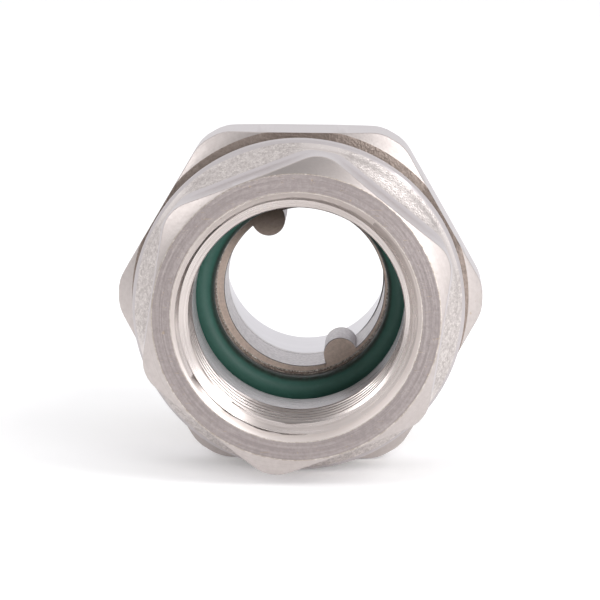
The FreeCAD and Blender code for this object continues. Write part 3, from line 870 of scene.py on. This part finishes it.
# %% [markdown]
# ## One more cut
# The countersink of the mouth runs over the thread's ridges, so its faces aren't a row of the
# line. They are found by their place instead, and get a duller finish than the thread.

# %% Finding the faces of one cut
SINK_DEPTH, SINK_RADIUS = 0.62, MOUTH_RADIUS + 0.001


def refinish(piece, finish, belongs):
    """Gives a finish of their own to the faces whose corners all belong to one cut."""
    mesh = piece.data
    mesh.materials.append(finish)
    inside = [belongs(vertex.co.y / MM + LENGTH / 2,
                      hypot(vertex.co.x / MM, vertex.co.z / MM - AXIS_HEIGHT))
              for vertex in mesh.vertices]
    faces = [face for face in mesh.polygons if all(inside[corner] for corner in face.vertices)]
    for face in faces:
        face.material_index = len(mesh.materials) - 1
    print(finish.name, "on", len(faces), "faces of", piece.name)


def on_countersink(depth, radius):
    """Whether a place is on the cone that opens the mouth."""
    return depth < SINK_DEPTH and radius < SINK_RADIUS


print("the countersink reaches", SINK_DEPTH, "mm into the mouth")

# %% [markdown]
# ## The metal pieces
# Each piece is turned from its line, stands for its CAD solid and rides on that solid's body.
# Its finishes are listed with it.

# %% Turn the female end, the nut and the tailpiece
def fit(piece, node, body):
    """Puts a piece in the place of a CAD node, on the node's body."""
    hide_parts(node)
    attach(piece, body)


female = turn_piece("female_end_dressed", body_line, BODY_COLUMNS, {
    "face": faced, "edge": edged, "bevel": bevelled, "flat": milled, "flare": flared,
    "rim": rimmed, "turned": turned, "thread": cut, "throat": throated})
refinish(female, countersunk, on_countersink)
fit(female, "union_body", "female_end")

nut = turn_piece("union_nut_dressed", nut_line, NUT_COLUMNS, {
    "face": shaded_nut_front, "bevel": bevelled, "flat": milled, "hub": hubbed, "turned": turned,
    "thread": cut})
fit(nut, "union_nut", "nut")

tail = turn_piece("tailpiece_dressed", tail_line, TAIL_COLUMNS, {
    "nose": turned, "ledge": ledged, "turned": turned, "thread": cut, "forged": forged,
    "bore": bored, "edge": lined, "pitted": pitted, "chipped": chipped})
fit(tail, "tailpiece", "tail")

# %% [markdown]
# ## The rubber ring
# The seal is a plain round-section ring of green rubber, a circle spun round the axis. Its skin
# has a soft sheen and a faint mottle, and towards the bore a painted dark reflection of the ledge
# darkens it in patches.

# %% Green rubber
GREEN, PALE_GREEN, INNER_SHADE_COLOUR = (0.036, 0.132, 0.102, 1), (0.062, 0.188, 0.150, 1), (0.030, 0.028, 0.020, 1)
# The last colour above is a painted dark reflection of the ledge. It starts and is full at these
# distances from the axis.
INNER_SHADE_STARTS, INNER_SHADE_FULL = 10.75, 10.35
LEAST_INNER_SHADE, PATCHY_INNER_SHADE = 0.6, 0.3
SHEEN, MOTTLE_ROUGHER, FINE_HEIGHT, RUBBER_RELIEF = 0.43, 0.16, 0.5, 0.012
rubber = bpy.data.materials.new("green_rubber_skin")
rubber.use_nodes = True
tree = rubber.node_tree
place = in_millimetres(tree)
mottle = noise(tree, place, Scale=1.1, Detail=5.0, Roughness=0.6)
fine = noise(tree, place, Scale=9.0, Detail=2.0)
ringed = add(tree, "ShaderNodeGroup", {"Place": place}, node_tree=RINGS).outputs
grained = add(tree, "ShaderNodeGroup", {"Place": place, "Scale": 7.0}, node_tree=GRAIN_AND_GLINTS).outputs
# Painted dark reflection: towards the bore the ring is darkened in patches, where its glossy skin
# mirrors the dark ledge.
inner = ramp(tree, ringed["Radius"], INNER_SHADE_STARTS, INNER_SHADE_FULL, shape="SMOOTHSTEP")
inner_shade = math(tree, "MULTIPLY", inner,
               math(tree, "MULTIPLY_ADD", grained["Patches"], PATCHY_INNER_SHADE, LEAST_INNER_SHADE))
colour = mix(tree, inner_shade, mix(tree, mottle, GREEN, PALE_GREEN), INNER_SHADE_COLOUR)
bump = add(tree, "ShaderNodeBump", {
    "Strength": 1.0, "Distance": RUBBER_RELIEF * MM,
    "Height": math(tree, "MULTIPLY_ADD", fine, FINE_HEIGHT, mottle)})
shader = tree.nodes["Principled BSDF"].inputs
tree.links.new(colour, shader["Base Color"])
tree.links.new(math(tree, "MULTIPLY_ADD", mottle, MOTTLE_ROUGHER, SHEEN), shader["Roughness"])
tree.links.new(bump.outputs[0], shader["Normal"])
print(rubber.name, "has", len(tree.nodes), "nodes")

# %% [markdown]
# ### Its round section
# A torus from the menu would do, but the spin starts from the real section and its real place.
# There is no helix here, so the spin itself joins its end to its beginning.

# %% Spin the ring
RING_DEPTH, RING_RADIUS, RING_HALF = 21.9, 11.6799, 1.55
RING_SIDES, RING_STEPS = 32, 160
bm = bmesh.new()
bmesh.ops.create_circle(bm, segments=RING_SIDES, radius=RING_HALF * MM)
bmesh.ops.translate(bm, verts=bm.verts, vec=point(RING_DEPTH, RING_RADIUS, 0))
bmesh.ops.spin(bm, geom=list(bm.verts) + list(bm.edges), cent=point(0, 0, 0), axis=(0, -1, 0),
               angle=tau, steps=RING_STEPS, use_merge=True, use_duplicate=False)
bmesh.ops.remove_doubles(bm, verts=bm.verts, dist=SAME_PLACE)
bmesh.ops.recalc_face_normals(bm, faces=bm.faces)
for face in bm.faces:
    face.smooth = True
ring = into_scene(bm, "rubber_ring_dressed", [rubber])
fit(ring, "o_ring", "seal")
print(ring.name, len(ring.data.vertices), "vertices")

# %% [markdown]
# ## The floor
# The fitting lies on pale paper in a white studio. A large disc a hair below it is enough, with a
# little light of its own, so that it stays nearly as white as the room.

# %% A pale floor
FLOOR_RADIUS, FLOOR_SIDES, FLOOR_HEIGHT = 4.0, 96, -0.0001
paper = bpy.data.materials.new("white_paper")
paper.use_nodes = True
shader = paper.node_tree.nodes["Principled BSDF"].inputs
shader["Base Color"].default_value = (0.93, 0.93, 0.93, 1)
shader["Roughness"].default_value = 0.9
shader["Emission Color"].default_value = (1, 1, 1, 1)
shader["Emission Strength"].default_value = 0.17
bm = bmesh.new()
bmesh.ops.create_circle(bm, cap_ends=True, segments=FLOOR_SIDES, radius=FLOOR_RADIUS)
bmesh.ops.translate(bm, verts=bm.verts, vec=(0, 0, FLOOR_HEIGHT))
ground = into_scene(bm, "floor", [paper])
print(ground.name, "is", 2 * FLOOR_RADIUS, "m wide")

# %% [markdown]
# ## The room
# Polished metal shows what stands round it, so the room matters more than the lamps: it is bright
# all round, a little brighter on the right, and darker low behind the camera on the left and in a
# patch high above it, which gives the front faces and the top bevel their grey. An image of a
# room would do too, but a mask for each patch, a product of ramps, can be moved and weighed alone.

# %% The room
ROOM, DARKER_LOW, DARKER_CEILING, BRIGHTER_RIGHT = 0.96, -0.72, -0.74, 0.06
world = bpy.data.worlds.new("studio")
bpy.context.scene.world = world
world.use_nodes = True
tree = world.node_tree
seen = add(tree, "ShaderNodeSeparateXYZ", {
    0: add(tree, "ShaderNodeTexCoord").outputs["Generated"]}).outputs
middle = math(tree, "ABSOLUTE", seen["X"])


def room_mask(*sides):
    """1 where every one of the room's values has passed its end, 0 where one is at its start."""
    ramps = [ramp(tree, *side, shape="SMOOTHSTEP") for side in sides]
    mask = ramps[0]
    for other in ramps[1:]:
        mask = math(tree, "MULTIPLY", mask, other)
    return mask


low_left = room_mask((seen["Y"], -0.25, -0.65), (seen["X"], 0.45, 0.10), (seen["Z"], 0.50, 0.22))
right_side = room_mask((seen["X"], 0.30, 0.60), (seen["Y"], 0.20, -0.20))
ceiling = room_mask((seen["Y"], -0.30, -0.50), (seen["Z"], 0.30, 0.55), (middle, 0.50, 0.25))
strength = math(tree, "MULTIPLY_ADD", low_left, DARKER_LOW,
                math(tree, "MULTIPLY_ADD", right_side, BRIGHTER_RIGHT,
                     math(tree, "MULTIPLY_ADD", ceiling, DARKER_CEILING, ROOM)))
camera_ray = add(tree, "ShaderNodeLightPath").outputs["Is Camera Ray"]
backdrop = add(tree, "ShaderNodeMix", {0: camera_ray, 2: strength, 3: 1.0}, data_type="FLOAT")
room = tree.nodes["Background"].inputs
room["Color"].default_value = (0.99, 0.985, 1.0, 1)
tree.links.new(backdrop.outputs[0], room["Strength"])
print(world.name, "has", len(tree.nodes), "nodes")

# %% [markdown]
# ## The lamps
# Two soft lamps light the side bevels, and a third one in front shines into the mouth. Area lamps
# in the shape of a disc give soft, round highlights on the polished rims.

# %% Three soft lamps
AIM = Vector((0, 0, AXIS_HEIGHT * MM))


def lamp(name, place, size, power):
    """A round area lamp that is turned to the middle of the fitting."""
    light = bpy.data.lights.new(name, "AREA")
    light.shape, light.size, light.energy = "DISK", size, power
    holder = bpy.data.objects.new(name, light)
    holder.location = place
    holder.rotation_euler = (AIM - Vector(place)).to_track_quat("-Z", "Y").to_euler()
    bpy.context.scene.collection.objects.link(holder)
    print(name, round((AIM - Vector(place)).length, 2), "m away")


lamp("lamp_left", (-0.50, -0.40, 0.40), 0.30, 0.65)
lamp("lamp_right", (0.50, -0.32, 0.50), 0.40, 1.7)
lamp("lamp_front", (0.32, -0.63, 0.21), 0.26, 1.5)

# %% [markdown]
# ## The camera
# The photograph looks into the female end from a little above, with a long lens. The axis points
# away 8 degrees upwards in the picture and slightly to the right. The camera is placed by where
# the middle of the front face is seen in the picture, at a known distance.

# %% Place the camera
FOCAL_PIXELS, PICTURE, SENSOR, DISTANCE = 3696.15, 600, 36.0, 410.0
PITCH, YAW, ROLL = radians(8.14), radians(1.55), radians(0.7)
FACE_PIXEL = (296.1, 318.0)
ahead = Vector((sin(YAW) * cos(PITCH), sin(PITCH), -cos(YAW) * cos(PITCH)))
right = ahead.cross(Vector((0, 1, 0))).normalized()
up = right.cross(ahead)
to_scene = Matrix((right * cos(ROLL) - up * sin(ROLL), ahead, up * cos(ROLL) + right * sin(ROLL)))
pixel = DISTANCE / FOCAL_PIXELS
face_seen = Vector(((FACE_PIXEL[0] - PICTURE / 2) * pixel, (PICTURE / 2 - FACE_PIXEL[1]) * pixel,
                    -DISTANCE)) * MM
camera = bpy.data.objects.new("camera", bpy.data.cameras.new("camera"))
bpy.context.scene.collection.objects.link(camera)
camera.matrix_world = Matrix.Translation(point(0, 0, 0) - to_scene @ face_seen) @ to_scene.to_4x4()
camera.data.sensor_width = SENSOR
camera.data.lens = FOCAL_PIXELS / PICTURE * SENSOR
camera.data.clip_start, camera.data.clip_end = 0.01, 20.0
bpy.context.scene.camera = camera
bpy.context.scene.view_settings.view_transform = "Standard"
print("camera at", camera.location, "determinant", round(to_scene.determinant(), 4))
